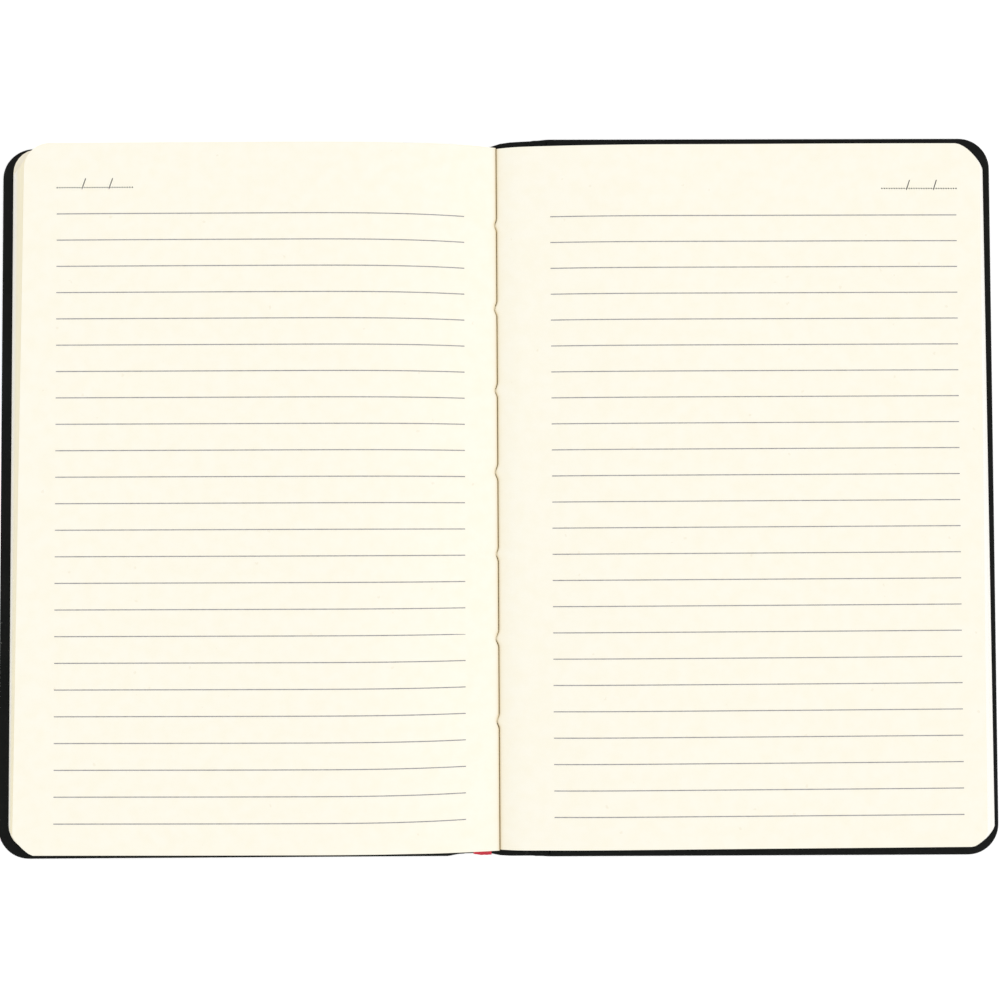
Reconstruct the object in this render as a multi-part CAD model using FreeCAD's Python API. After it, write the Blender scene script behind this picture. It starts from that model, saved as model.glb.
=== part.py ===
"""A casebound ruled notebook, lying open and face up.

The frame has its origin under the middle of the spine, on the surface that the book lies on.
+X points to the right-hand page, +Y to the head of the pages and +Z up.
All sizes are in millimetres. A place across the book is given as a run out from the middle
of the spine, so one function makes a piece of either cover: side is -1 for the front cover,
which lies on the left, and +1 for the back cover.
"""
import FreeCAD, Part
import math
import os

from FreeCAD import Vector

FRONT = -1
BACK = 1

# Case: boards, spine strip and the leatherette that holds them together
COVER_HEIGHT = 210.4
BOARD_REACH = 130.6
JOINT_WIDTH = 6.0
SPINE_WIDTH = 18.0
BOARD_THICKNESS = 1.7
STRIP_THICKNESS = 0.6
LEATHER = 0.3
COVER_CORNER = 9.0
FRONT_HEAD_INSET = 1.2
FRONT_HEAD_LEAN = 1.4
TURN_IN = 15.0
SPINE_END_INSET = 0.2
STRIP_END_INSET = 3.1

# The flexible line beside the spine, where each cover hinges
GROOVE_HEIGHT = 0.9
HINGE_FLAT = 1.3
GROOVE_SLOPE = 0.9
GROOVE_LAND = 2.4
SPINE_EDGE_GAP = 0.25
COVER_EDGE_GAP = 0.15
STRIP_EDGE_GAP = 0.5

# Papers glued to the case
LINING = 0.3
GAUZE = 0.2
GAUZE_END_INSET = 12.0
GAUZE_EDGE_INSET = 0.8
ENDPAPER = 0.2
ENDPAPER_MARGIN = 3.2

# Pages
PAGE_HEIGHT = 205.0
PAGE_CORNER = 7.0
GUTTER_PLACE = 0.3
GUTTER_GAP = 0.3
FOLD_CLEARANCE = 0.2
FOLD_LEAN = 1.0
SHEET_CLEARANCE = 0.1
FRONT_STACK = 7.8
FRONT_BULGE = 1.3
FRONT_GUTTER_DEPTH = 6.9
FRONT_BOTTOM_LEAF_HEAD = 142.4
FRONT_BOTTOM_LEAF_TAIL = 142.4
FRONT_TOP_LEAF_HEAD = 136.5
FRONT_TOP_LEAF_TAIL = 138.5
BACK_STACK = 3.1
BACK_BULGE = 0.8
BACK_GUTTER_DEPTH = 2.2
BACK_BOTTOM_LEAF_HEAD = 143.6
BACK_BOTTOM_LEAF_TAIL = 144.2
BACK_TOP_LEAF_HEAD = 141.5
BACK_TOP_LEAF_TAIL = 141.0

# How an open page climbs from the gutter: distances from it, and shares of the whole climb
TURN_RUN = 4.2
FRONT_TURN_SHARE = 0.18
BACK_TURN_SHARE = 0.43
EASE_RUN = 10.7
FRONT_EASE_SHARE = 0.43
BACK_EASE_SHARE = 0.67
SHOULDER_RUN = 20.0
FRONT_SHOULDER_SHARE = 0.70
BACK_SHOULDER_SHARE = 0.85
CREST_RUN = 60.0
SLOPE_RUN = 100.0
SLOPE_SHARE = 0.93

# Glue that shows in the notches of the fold
NOTCH_COUNT = 7
NOTCH_PITCH = 24.3
NOTCH_LENGTH = 4.0
NOTCH_DEPTH = 0.45
NOTCH_MIDDLE = 7.9
GLUE_CLEARANCE = 0.1
GLUE_HEIGHT = 2.0

# Ribbon marker, between the leaves of the front stack
RIBBON_WIDTH = 5.4
RIBBON_THICKNESS = 0.25
RIBBON_OVERHANG = 1.0
RIBBON_HEAD_INSET = 1.5
RIBBON_INNER_RUN = 2.3
RIBBON_DEPTH = 1.3
RIBBON_CLEARANCE = 0.08

# How far a cutter stands past what it cuts
CUT_MARGIN = 1.0

# Levels and runs that follow from the sizes above
half_height = COVER_HEIGHT / 2
half_page = PAGE_HEIGHT / 2
hinge_run = SPINE_WIDTH / 2
board_start = hinge_run + JOINT_WIDTH
fore_edge = board_start + BOARD_REACH
board_top = LEATHER + BOARD_THICKNESS
cover_top = board_top + LEATHER
strip_top = LEATHER + STRIP_THICKNESS
lining_top = strip_top + LINING
gauze_top = lining_top + GAUZE
fold_base = gauze_top + FOLD_CLEARANCE
groove_top = GROOVE_HEIGHT + LEATHER
joint_sheet_base = groove_top + LEATHER
joint_sheet_top = joint_sheet_base + ENDPAPER
stack_base = cover_top + ENDPAPER


def place(side, run, along, level):
    """A point in the frame, from a run out of the spine's middle on one side."""
    return Vector(side * run, along, level)


def prism_along_book(side, section, low, high):
    """Carry a closed section of (run, level) points along the book from low to high."""
    points = [place(side, run, low, level) for run, level in section]
    face = Part.Face(Part.makePolygon(points + points[:1]))
    return face.extrude(Vector(0, high - low, 0))


def rounded_panel(side, start, end, half, corner, level, head_inset=0.0, lean=0.0):
    """Closed wire of a panel whose two corners at the fore-edge are round.

    Its head edge stands in by the inset beside the spine and comes in by the lean on its way to
    the fore-edge, and the corner there turns by that much less than a right angle.
    """
    bend = corner * math.sqrt(0.5)
    middle = end - corner
    tilt = math.atan2(lean, end - start)
    tip = half - head_inset - lean
    centre = tip - corner * (1 - math.sin(tilt)) / math.cos(tilt)
    half_turn = (math.pi / 2 - tilt) / 2
    tail = place(side, middle, -half, level)
    tail_bend = place(side, middle + bend, -half + corner - bend, level)
    tail_end = place(side, end, -half + corner, level)
    head = place(side, end, centre, level)
    head_bend = place(
        side,
        middle + corner * math.cos(half_turn),
        centre + corner * math.sin(half_turn),
        level,
    )
    head_end = place(
        side, middle + corner * math.sin(tilt), centre + corner * math.cos(tilt), level
    )
    inner_head = place(side, start, half - head_inset, level)
    inner_tail = place(side, start, -half, level)
    return Part.Wire(
        [
            Part.LineSegment(inner_tail, tail).toShape(),
            Part.Arc(tail, tail_bend, tail_end).toShape(),
            Part.LineSegment(tail_end, head).toShape(),
            Part.Arc(head, head_bend, head_end).toShape(),
            Part.LineSegment(head_end, inner_head).toShape(),
            Part.LineSegment(inner_head, inner_tail).toShape(),
        ]
    )


def panel(side, inset, start, base, top):
    """A flat plate of the cover's outline, set in from its three free edges."""
    wire = rounded_panel(
        side,
        start,
        fore_edge - inset,
        half_height - inset,
        COVER_CORNER - inset,
        base,
        FRONT_HEAD_INSET if side == FRONT else 0.0,
        FRONT_HEAD_LEAN if side == FRONT else 0.0,
    )
    return Part.Face(wire).extrude(Vector(0, 0, top - base))


def board(side):
    """The stiff board inside a cover."""
    return panel(side, LEATHER, board_start, LEATHER, board_top)


def joint_section(base_lift, thickness):
    """Section of the leatherette in the joint: flat at the hinge, up to the groove and down."""
    rise = hinge_run + HINGE_FLAT
    crest = rise + GROOVE_SLOPE
    fall = crest + GROOVE_LAND
    foot = fall + GROOVE_SLOPE
    low = [
        (hinge_run + COVER_EDGE_GAP, 0),
        (rise, 0),
        (crest, GROOVE_HEIGHT),
        (fall, GROOVE_HEIGHT),
        (foot, 0),
        (board_start, 0),
    ]
    under = [(run, level + base_lift) for run, level in low]
    over = [(run, level + base_lift + thickness) for run, level in low]
    return under + over[::-1]


def end_taper(side, head):
    """Cutter that brings the joint's end in, from the cover's edge to the spine's shorter end."""
    outer = half_height
    if side == FRONT and head > 0:
        outer -= FRONT_HEAD_INSET
    inner = head * min(outer, half_height - SPINE_END_INSET)
    outer = head * outer
    beyond = head * (half_height + CUT_MARGIN)
    points = [
        place(side, 0, inner, -CUT_MARGIN),
        place(side, hinge_run, inner, -CUT_MARGIN),
        place(side, board_start, outer, -CUT_MARGIN),
        place(side, board_start, beyond, -CUT_MARGIN),
        place(side, 0, beyond, -CUT_MARGIN),
    ]
    face = Part.Face(Part.makePolygon(points + points[:1]))
    return face.extrude(Vector(0, 0, cover_top + 2 * CUT_MARGIN))


def cover_wrap(side):
    """Leatherette of one cover: outer face, edges, turn-ins and the joint beside the spine."""
    shell = panel(side, 0, board_start, 0, cover_top)
    shell = shell.cut(board(side))
    run = fore_edge - TURN_IN
    along = half_height - TURN_IN
    section = [(0, board_top), (run, board_top), (run, stack_base), (0, stack_base)]
    shell = shell.cut(prism_along_book(side, section, -along, along))
    joint = prism_along_book(side, joint_section(0, LEATHER), -half_height, half_height)
    shell = shell.fuse(joint)
    folded = joint_section(LEATHER, LEATHER)[1:-1]
    for head in (-1, 1):
        ends = sorted([head * (half_height - TURN_IN), head * half_height])
        shell = shell.fuse(prism_along_book(side, folded, *ends))
        shell = shell.cut(end_taper(side, head))
    return shell.removeSplitter()


def endpaper(side):
    """Sheet glued to the inside of a cover, which also runs down over the joint."""
    sheet = rounded_panel(
        side,
        board_start,
        fore_edge - ENDPAPER_MARGIN,
        half_page - SHEET_CLEARANCE,
        PAGE_CORNER,
        cover_top,
    )
    sheet = Part.Face(sheet).extrude(Vector(0, 0, ENDPAPER))
    start = hinge_run + HINGE_FLAT
    land = board_start - GROOVE_SLOPE
    section = [
        (start, joint_sheet_base),
        (land, joint_sheet_base),
        (board_start, cover_top),
        (board_start, stack_base),
        (land, joint_sheet_top),
        (start, joint_sheet_top),
    ]
    inside = half_page - SHEET_CLEARANCE
    return sheet.fuse(prism_along_book(side, section, -inside, inside)).removeSplitter()


def spine_strip():
    """Card strip that stiffens the spine between the two hinge lines."""
    reach = hinge_run - STRIP_EDGE_GAP
    half = half_height - STRIP_END_INSET
    strip = Part.makeBox(2 * reach, 2 * half, STRIP_THICKNESS)
    strip.translate(Vector(-reach, -half, LEATHER))
    return strip


def spine_wrap():
    """Leatherette over the back of the spine, turned in over the strip at head and tail."""
    reach = hinge_run - SPINE_EDGE_GAP
    inner = hinge_run - STRIP_EDGE_GAP
    half = half_height - SPINE_END_INSET
    wrap = Part.makeBox(2 * reach, 2 * half, LEATHER)
    wrap.translate(Vector(-reach, -half, 0))
    for head in (-1, 1):
        edge = head * half
        ends = sorted([edge, edge - head * LEATHER])
        cap = Part.makeBox(2 * inner, LEATHER, lining_top)
        cap.translate(Vector(-inner, ends[0], 0))
        ends = sorted([edge, edge - head * TURN_IN])
        flap = Part.makeBox(2 * inner, TURN_IN, LEATHER)
        flap.translate(Vector(-inner, ends[0], strip_top))
        wrap = wrap.fuse(cap).fuse(flap)
    return wrap.removeSplitter()


def spine_lining():
    """Paper strip glued inside the spine between its two turn-ins."""
    reach = hinge_run - STRIP_EDGE_GAP
    half = half_height - SPINE_END_INSET - TURN_IN
    lining = Part.makeBox(2 * reach, 2 * half, LINING)
    lining.translate(Vector(-reach, -half, strip_top))
    return lining


def spine_gauze():
    """Gauze glued over the folds of the pages, which holds them to the case."""
    reach = hinge_run - STRIP_EDGE_GAP - GAUZE_EDGE_INSET
    half = half_page - GAUZE_END_INSET
    gauze = Part.makeBox(2 * reach, 2 * half, GAUZE)
    gauze.translate(Vector(-reach, -half, lining_top))
    return gauze


def notch_places():
    """Where along the book each notch in the fold has its middle."""
    first = NOTCH_MIDDLE - NOTCH_PITCH * (NOTCH_COUNT - 1) / 2
    return [first + NOTCH_PITCH * number for number in range(NOTCH_COUNT)]


def notch_glue():
    """Glue that fills the notches and ties the pages' fold to the spine."""
    width = 2 * (GUTTER_GAP / 2 + NOTCH_DEPTH - GLUE_CLEARANCE)
    length = NOTCH_LENGTH - 2 * GLUE_CLEARANCE
    beads = []
    for along in notch_places():
        bead = Part.makeBox(width, length, GLUE_HEIGHT)
        bead.translate(Vector(GUTTER_PLACE - width / 2, along - length / 2, gauze_top))
        beads.append(bead)
    return Part.makeCompound(beads)


def notch_cutters():
    """Spaces in the folded edges of the pages that the glue stands in."""
    width = 2 * (GUTTER_GAP / 2 + NOTCH_DEPTH)
    cutters = []
    for along in notch_places():
        cutter = Part.makeBox(width, NOTCH_LENGTH, cover_top + FRONT_STACK)
        cutter.translate(Vector(GUTTER_PLACE - width / 2, along - NOTCH_LENGTH / 2, 0))
        cutters.append(cutter)
    return Part.makeCompound(cutters)


def stack_top(side, stack, bulge, gutter_depth):
    """Points (distance from the gutter, level) of the open page's surface, out to the fore-edge.

    The leaves leave the fold steeply, lie over within a thumb's width and stay a little
    raised half way out, where they lie least tightly.
    """
    top = stack_base + stack
    gutter = top - gutter_depth
    climb = gutter_depth + bulge
    if side == FRONT:
        turn, ease, shoulder = FRONT_TURN_SHARE, FRONT_EASE_SHARE, FRONT_SHOULDER_SHARE
    else:
        turn, ease, shoulder = BACK_TURN_SHARE, BACK_EASE_SHARE, BACK_SHOULDER_SHARE
    return [
        (0.0, gutter),
        (TURN_RUN, gutter + turn * climb),
        (EASE_RUN, gutter + ease * climb),
        (SHOULDER_RUN, gutter + shoulder * climb),
        (CREST_RUN, gutter + climb),
        (SLOPE_RUN, gutter + SLOPE_SHARE * climb),
        (fore_edge + PAGE_CORNER, top),
    ]


def page_outline(side, level, tail_run, head_run):
    """Closed wire of a leaf whose fore-edge stands further out at the tail than at the head."""
    corner = PAGE_CORNER
    bend = corner * (1 - math.sqrt(0.5))
    tail = place(side, tail_run - corner, -half_page, level)
    tail_bend = place(side, tail_run - bend, -half_page + bend, level)
    tail_end = place(side, tail_run, -half_page + corner, level)
    head = place(side, head_run, half_page - corner, level)
    head_bend = place(side, head_run - bend, half_page - bend, level)
    head_end = place(side, head_run - corner, half_page, level)
    inner_head = place(side, -hinge_run, half_page, level)
    inner_tail = place(side, -hinge_run, -half_page, level)
    return Part.Wire(
        [
            Part.LineSegment(inner_tail, tail).toShape(),
            Part.Arc(tail, tail_bend, tail_end).toShape(),
            Part.LineSegment(tail_end, head).toShape(),
            Part.Arc(head, head_bend, head_end).toShape(),
            Part.LineSegment(head_end, inner_head).toShape(),
            Part.LineSegment(inner_head, inner_tail).toShape(),
        ]
    )


def fanned_block(side, stack, bottom_head, bottom_tail, top_head, top_tail):
    """Block whose fore-edge leans in from the bottom leaf to the top leaf, as fanned leaves do."""
    high = stack_base + 2 * stack
    lean_head = (bottom_head - top_head) / stack
    lean_tail = (bottom_tail - top_tail) / stack
    rise = high - stack_base
    drop = stack_base
    low_wire = page_outline(
        side, 0, bottom_tail + lean_tail * drop, bottom_head + lean_head * drop
    )
    high_wire = page_outline(
        side, high, bottom_tail - lean_tail * rise, bottom_head - lean_head * rise
    )
    return Part.makeLoft([low_wire, high_wire], True, True)


def stack_prism(side, stack, bulge, gutter_depth):
    """Section of one half of the pages, from the fold out past the fore-edge, along the book.

    The folded edge leans away below its top, so that either half can swing up past the other.
    """
    gutter = side * GUTTER_PLACE + GUTTER_GAP / 2
    surface = [
        place(side, gutter + run, -half_page, level)
        for run, level in stack_top(side, stack, bulge, gutter_depth)
    ]
    curve = Part.BSplineCurve()
    curve.interpolate(surface)
    under = [
        (gutter + fore_edge + PAGE_CORNER, stack_base),
        (board_start, stack_base),
        (board_start - GROOVE_SLOPE, joint_sheet_top + SHEET_CLEARANCE),
        (hinge_run + HINGE_FLAT - SHEET_CLEARANCE, joint_sheet_top + SHEET_CLEARANCE),
        (hinge_run, fold_base),
        (gutter + FOLD_LEAN, fold_base),
    ]
    corners = [surface[-1]]
    corners += [place(side, run, -half_page, level) for run, level in under]
    corners += [surface[0]]
    edges = [curve.toShape()]
    edges += [Part.LineSegment(a, b).toShape() for a, b in zip(corners, corners[1:])]
    face = Part.Face(Part.Wire(Part.__sortEdges__(edges)))
    return face.extrude(Vector(0, PAGE_HEIGHT, 0))


def ribbon_strip(width, thickness, tail, head):
    """Flat strip that leans as the leaves do where the ribbon lies, near the fold."""
    surface = stack_top(FRONT, FRONT_STACK, FRONT_BULGE, FRONT_GUTTER_DEPTH)
    turn_run, turn_level = surface[1]
    ease_run, ease_level = surface[2]
    slope = math.atan2(ease_level - turn_level, ease_run - turn_run)
    middle_run = RIBBON_INNER_RUN + RIBBON_WIDTH / 2 * math.cos(slope)
    middle_level = turn_level + (middle_run - turn_run) * math.tan(slope) - RIBBON_DEPTH
    strip = Part.makeBox(width, head - tail, thickness)
    strip.translate(Vector(-width / 2, tail, -thickness / 2))
    strip.rotate(Vector(0, 0, 0), Vector(0, 1, 0), math.degrees(slope))
    strip.translate(Vector(-middle_run, 0, middle_level))
    return strip


def ribbon_marker():
    """Woven ribbon that lies between the leaves and ends just past their tail edge."""
    tail = -half_page - RIBBON_OVERHANG
    head = half_page - RIBBON_HEAD_INSET
    return ribbon_strip(RIBBON_WIDTH, RIBBON_THICKNESS, tail, head)


def front_leaves():
    """The leaves that lie on the front cover, as one block with the ribbon's slot."""
    block = fanned_block(
        FRONT,
        FRONT_STACK,
        FRONT_BOTTOM_LEAF_HEAD,
        FRONT_BOTTOM_LEAF_TAIL,
        FRONT_TOP_LEAF_HEAD,
        FRONT_TOP_LEAF_TAIL,
    )
    section = stack_prism(FRONT, FRONT_STACK, FRONT_BULGE, FRONT_GUTTER_DEPTH)
    slot = ribbon_strip(
        RIBBON_WIDTH + 2 * RIBBON_CLEARANCE,
        RIBBON_THICKNESS + 2 * RIBBON_CLEARANCE,
        -half_page - CUT_MARGIN,
        half_page + CUT_MARGIN,
    )
    return block.common(section).cut(slot).cut(notch_cutters())


def back_leaves():
    """The leaves that lie on the back cover, as one block."""
    block = fanned_block(
        BACK,
        BACK_STACK,
        BACK_BOTTOM_LEAF_HEAD,
        BACK_BOTTOM_LEAF_TAIL,
        BACK_TOP_LEAF_HEAD,
        BACK_TOP_LEAF_TAIL,
    )
    section = stack_prism(BACK, BACK_STACK, BACK_BULGE, BACK_GUTTER_DEPTH)
    return block.common(section).cut(notch_cutters())


PIECES = {
    "spine_strip": spine_strip(),
    "spine_wrap": spine_wrap(),
    "spine_lining": spine_lining(),
    "spine_gauze": spine_gauze(),
    "notch_glue": notch_glue(),
    "front_board": board(FRONT),
    "front_wrap": cover_wrap(FRONT),
    "front_endpaper": endpaper(FRONT),
    "front_leaves": front_leaves(),
    "ribbon_marker": ribbon_marker(),
    "back_board": board(BACK),
    "back_wrap": cover_wrap(BACK),
    "back_endpaper": endpaper(BACK),
    "back_leaves": back_leaves(),
}

os.makedirs("parts", exist_ok=True)
for name, shape in PIECES.items():
    shape.exportStep(f"parts/{name}.step")
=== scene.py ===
# Looks of an open ruled notebook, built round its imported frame.
# Lengths are in millimetres until a mesh is made. A run is a distance from the middle of the
# spine outwards, along is the way from tail to head, and a level is a height. A half is the
# front or the back of the book, and its side is the sign of x there.

import math
from collections import namedtuple

import bmesh
import bpy
import numpy as np
from mathutils import Euler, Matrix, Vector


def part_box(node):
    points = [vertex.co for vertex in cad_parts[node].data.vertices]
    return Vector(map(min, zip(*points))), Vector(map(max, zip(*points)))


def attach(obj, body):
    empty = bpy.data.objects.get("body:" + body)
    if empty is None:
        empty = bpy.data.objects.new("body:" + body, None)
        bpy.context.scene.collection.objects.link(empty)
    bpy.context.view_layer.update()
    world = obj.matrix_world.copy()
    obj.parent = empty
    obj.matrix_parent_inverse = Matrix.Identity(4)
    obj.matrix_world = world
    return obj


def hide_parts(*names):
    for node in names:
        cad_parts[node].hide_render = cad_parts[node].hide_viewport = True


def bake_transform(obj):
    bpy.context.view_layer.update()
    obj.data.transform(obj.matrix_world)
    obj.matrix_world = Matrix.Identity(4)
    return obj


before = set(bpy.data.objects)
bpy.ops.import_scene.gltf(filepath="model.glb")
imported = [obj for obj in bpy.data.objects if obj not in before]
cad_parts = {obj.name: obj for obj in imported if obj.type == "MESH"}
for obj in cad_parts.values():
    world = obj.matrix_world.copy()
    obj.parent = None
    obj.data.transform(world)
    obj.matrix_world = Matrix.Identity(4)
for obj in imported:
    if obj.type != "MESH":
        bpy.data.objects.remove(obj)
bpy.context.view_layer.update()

MM = 0.001

# The cover's sizes
HALF_COVER = 105.2
BOARD_START = 15.0
FORE_EDGE = 145.6
COVER_CORNER = 9.0
FRONT_HEAD_INSET = 1.2
FRONT_HEAD_LEAN = 1.4
FRONT_TAIL_EASE = 0.25
EASE_LENGTH = 25.0
SPINE_CORNER = 0.6
COVER_TOP = 2.3
LEATHER = 0.3
EDGE_ROUND = 0.5
LEAST_ROUND = 0.12
FLAT_RINGS = (1.6, 7.0)
TURN_IN = 15.0
SKIN_GAP = 0.02
RUBBED_REACH = 0.27
RUBBED_END = 2.5
RUBBED_FADE = 1.5
FLAP_START = 2.8
FLAP_LEVEL = 0.62
FLAP_ROUND = 0.45
JOINT_OVERLAP = 0.35
JOINT_UNDER = 0.05
SPINE_HEIGHT = 1.2
SPINE_REACH = 8.75
GROOVE_HEIGHT = 0.9
GROOVE_START = 10.3
GROOVE_END = 14.5
GROOVE_CLIMB = 1.4
GROOVE_FALL = 1.3
PASTEDOWN_INSET = 3.2
PASTEDOWN_SHORTER = 0.1
PASTEDOWN_THICKNESS = 0.19

# The pages' sizes
HALF_PAGE = 102.5
PAGE_CORNER = 7.0
FOLD_BASE = 1.6
FOLD_SPREAD = 8.2
FOLD_FLARE = 0.7
QUIRE_LEAVES = 8
GUTTER_GAP = 0.14
GUTTER_ROUND = 0.4
GUTTER_MIDDLE = -0.045
GUTTER_LEAN = -0.0023
NOTCH_PLACES = np.linspace(-65.55, 79.5, 7)
NOTCH_SHIFTS = np.array([0.1, -0.15, 0.2, 0.0, -0.2, -0.4, 0.1])
NOTCH_LENGTHS = np.array([4.4, 5.0, 4.2, 5.2, 4.6, 4.8, 4.0])
NOTCH_DEPTHS = np.array([0.6, 0.72, 0.5, 0.68, 0.56, 0.66, 0.5])
NOTCH_GIVE = 0.12
# How much the painted shade at the fold fades at a notch, and how far in millimetres it reaches
NOTCH_FADE = 0.8
SHADE_REACH = 0.3

# The ribbon's and the glue beads' sizes
RIBBON_PAST_TAIL = 0.8
RIBBON_SLOPE = math.tan(math.radians(17.5))
RIBBON_HALF_THICKNESS = 0.12
BEAD_START = 1.42
BEAD_HEIGHT = 1.85
BEAD_SEED = 40

# Levels under the leaves and under the pastedown, as (run, level)
UNDER_LEAVES = [(8.2, 1.6), (9.0, 1.6), (10.3, 1.8), (14.1, 1.8), (15.0, 2.5), (160.0, 2.5)]
UNDER_PASTEDOWN = [(10.3, 1.5), (14.1, 1.5), (15.0, 2.3), (160.0, 2.3)]

# Slight waves of a leaf, as (height, length over the run, length along the fold)
COCKLE_WAVES = [(0.045, 21, 37), (0.035, 33, -19), (0.025, 80, 11), (0.015, 9, 60)]
COCKLE_START = 6
COCKLE_FADE = 30

# How far the leatherette's ends stand in from the cover's length near the spine, as (x, inset)
HEAD_INSETS = [
    (-15, 1.2),
    (-12, 1.4),
    (-9, 1.7),
    (-5, 2.0),
    (-2.3, 1.95),
    (0.9, 0.9),
    (3.9, 0.47),
    (6.8, 0.3),
    (9, 0.2),
    (15, 0),
]
TAIL_INSETS = [
    (-15, 0.25),
    (-11.4, 0.73),
    (-5.6, 0.84),
    (-2.7, 0.77),
    (0.2, 0.18),
    (3.1, 0),
    (15, 0),
]

# One half of the book. bottom_ and top_ give the fore-edge's run at the head and the tail, on
# the lowest and the top leaf. surface is the open page's (distance from the fold, level), and
# half_length and middle are the page's half length and its middle by run. The corners are
# (size, power) of the lowest and the top leaf. The reach after them is how far the painted
# warm shade beside the fold goes, and warm is the share of warmth in the edges, partly the edge
# paper's own tone and partly painted shade on the front fore-edge, which faces away from the lamp.
Half = namedtuple(
    "Half",
    "name side leaves bottom_head bottom_tail top_head top_tail surface half_length middle "
    "head_corners tail_corners tint_reach warm seed",
)

FRONT = Half(
    name="front",
    side=-1,
    leaves=56,
    bottom_head=142.4,
    bottom_tail=142.4,
    top_head=136.5,
    top_tail=138.5,
    surface=[
        (0.0, 3.4),
        (4.2, 4.876),
        (10.7, 6.926),
        (20.0, 9.14),
        (60.0, 11.47),
        (100.0, 11.026),
        (152.6, 10.3),
    ],
    half_length=[(0, 102.7), (8, 102.62), (16, 102.45), (26, 102.2), (40, 102.12), (160, 102.1)],
    middle=[(0, -0.4), (6, -0.27), (12, -0.2), (24, -0.2), (160, -0.2)],
    head_corners=((7.0, 1.05), (7.0, 1.9)),
    tail_corners=((6.6, 1.4), (5.7, 1.25)),
    tint_reach=0.3,
    warm=1.0,
    seed=11,
)
BACK = Half(
    name="back",
    side=1,
    leaves=24,
    bottom_head=143.6,
    bottom_tail=144.4,
    top_head=141.5,
    top_tail=141.0,
    surface=[
        (0.0, 3.4),
        (4.2, 4.69),
        (10.7, 5.41),
        (20.0, 5.95),
        (60.0, 6.4),
        (100.0, 6.19),
        (152.6, 5.6),
    ],
    half_length=[(0, 102.4), (160, 102.38)],
    middle=[(0, -0.4), (12, -0.25), (40, -0.05), (88, 0.16), (130, 0.3)],
    head_corners=((7.0, 1.5), (7.0, 1.5)),
    tail_corners=((5.4, 1.4), (4.4, 1.5)),
    tint_reach=1.0,
    warm=0.0,
    seed=23,
)

# The ruling. start and end are the x of the first rule's two ends, and the leans say how far
# to the right of them the last rule's ends lie. head and tail are the first and the last rule's
# places along the book, and the tilts say how much higher their right ends lie. A slash goes
# from one (x, along) to another.
RULE_COUNT = 24
RULE_WIDTH = 0.27
SLASH_WIDTH = 0.24
INK_LIFT = 0.04
INK_DEPTH = 0.05
INK_MARGIN = 0.05
DOT_COUNT = 31
DOT_SIZE = 0.4
Ruling = namedtuple(
    "Ruling",
    "start end start_lean end_lean head tail head_tilt tail_tilt dots_start dots_end dots_along "
    "slashes",
)
FRONT_RULING = Ruling(
    start=-126.9,
    end=-9.65,
    start_lean=0.1,
    end_lean=0.1,
    head=81.25,
    tail=-93.4,
    head_tilt=0.0,
    tail_tilt=0.0,
    dots_start=-126.8,
    dots_end=-105.1,
    dots_along=88.85,
    slashes=[(-119.7, 88.35, -118.6, 91.5), (-111.9, 88.35, -110.8, 91.5)],
)
BACK_RULING = Ruling(
    start=15.5,
    end=134.4,
    start_lean=0.45,
    end_lean=-0.1,
    head=81.3,
    tail=-93.15,
    head_tilt=0.25,
    tail_tilt=0.4,
    dots_start=112.6,
    dots_end=134.4,
    dots_along=89.35,
    slashes=[(119.8, 88.95, 120.75, 91.85), (127.7, 88.95, 128.65, 91.85)],
)


def linear(red, green, blue):
    """Linear colour of a display colour whose three parts run from 0 to 255."""
    shares = np.array([red, green, blue]) / 255
    low = shares / 12.92
    high = ((shares + 0.055) / 1.055) ** 2.4
    return (*np.where(shares <= 0.04045, low, high).tolist(), 1.0)


def smooth_step(value):
    """Three times the square less twice the cube of a value held between 0 and 1."""
    held = np.clip(value, 0, 1)
    return held * held * (3 - 2 * held)


def curve_through(points):
    """Dense runs and levels of the natural cubic spline through (run, level) points.

    Chord length numbers the places. Each stretch is a cubic, and its second derivative goes
    straight from one point's bend to the next one's, with no bend at the two ends.
    """
    values = np.array(points, float)
    chord = np.hypot(*np.diff(values, axis=0).T)
    place = np.concatenate([[0], np.cumsum(chord)])
    count = len(place)
    inner = np.arange(1, count - 1)
    system = np.eye(count)
    system[inner, inner - 1] = chord[:-1]
    system[inner, inner] = 2 * (chord[:-1] + chord[1:])
    system[inner, inner + 1] = chord[1:]
    pull = np.zeros((count, 2))
    pull[1:-1] = 6 * np.diff(np.diff(values, axis=0) / chord[:, None], axis=0)
    bend = np.linalg.solve(system, pull)
    fine = np.linspace(0, place[-1], 1200)
    piece = np.clip(np.searchsorted(place, fine, side="right") - 1, 0, count - 2)
    width = chord[piece, None]
    ahead = (fine - place[piece])[:, None] / width
    behind = 1 - ahead
    line = behind * values[piece] + ahead * values[piece + 1]
    sag = (behind**3 - behind) * bend[piece] + (ahead**3 - ahead) * bend[piece + 1]
    return (line + sag * width**2 / 6).T


def grid_faces(index):
    """Four-cornered faces between the neighbours of a grid of vertex numbers."""
    corners = [index[:-1, :-1], index[1:, :-1], index[1:, 1:], index[:-1, 1:]]
    return np.stack(corners, -1).reshape(-1, 4)


def border_of(rows, columns):
    """Row and column numbers of a grid's border, once round it."""
    across = np.arange(columns)
    down = np.arange(rows)
    row = [np.zeros(columns, int), down[1:], np.full(columns - 1, rows - 1), down[-2:0:-1]]
    column = [across, np.full(rows - 1, columns - 1), across[-2::-1], np.zeros(rows - 2, int)]
    return np.concatenate(row), np.concatenate(column)


def put_in_scene(name, data):
    """A new object in the scene that holds a mesh, a lamp or a camera."""
    made = bpy.data.objects.new(name, data)
    bpy.context.scene.collection.objects.link(made)
    return made


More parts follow.
